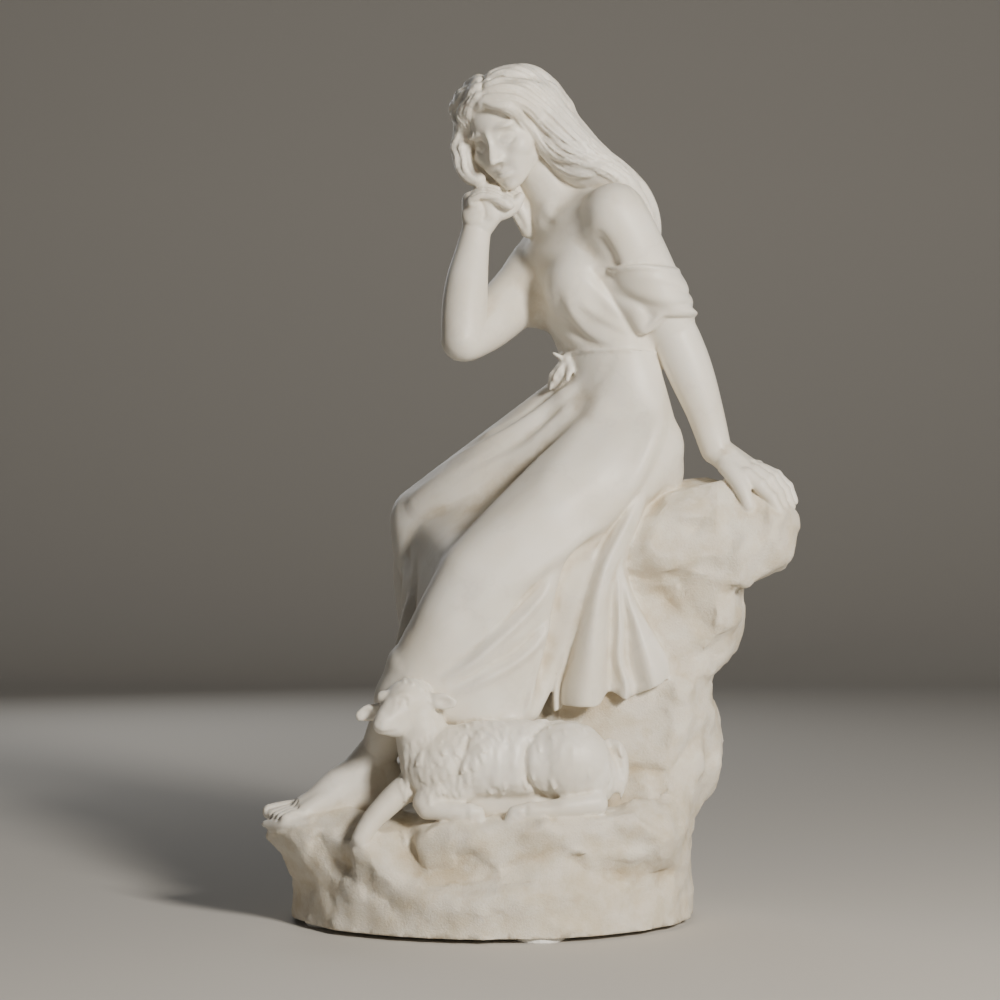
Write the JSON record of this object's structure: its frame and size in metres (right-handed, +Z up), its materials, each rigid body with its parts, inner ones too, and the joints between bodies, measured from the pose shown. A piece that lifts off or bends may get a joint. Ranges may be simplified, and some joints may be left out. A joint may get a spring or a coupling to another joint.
{
  "type": "marble statue",
  "caption": "Seated shepherdess in a draped dress with a lamb on rocky ground, carved from one marble block, on small protective pads.",
  "frame": {"origin": "centre of the object's bounding box on the surface that the pads stand on", "axes": "+Z up; the statue is seen from its front along +Y, so -Y points at the viewer and +X to the viewer's right"},
  "size_m": [0.4292, 0.2794, 0.6769],
  "materials": {
    "white_marble": "hand-carved white marble, satin on figure and cloth, tooled on rock, with warm staining in the hollows",
    "pad_white": "matt white"
  },
  "bodies": {
    "root": {"marble_statue": "white_marble", "base_pad_front": "pad_white", "base_pad_left": "pad_white", "base_pad_right": "pad_white", "base_pad_back": "pad_white"}
  },
  "joints": []
}
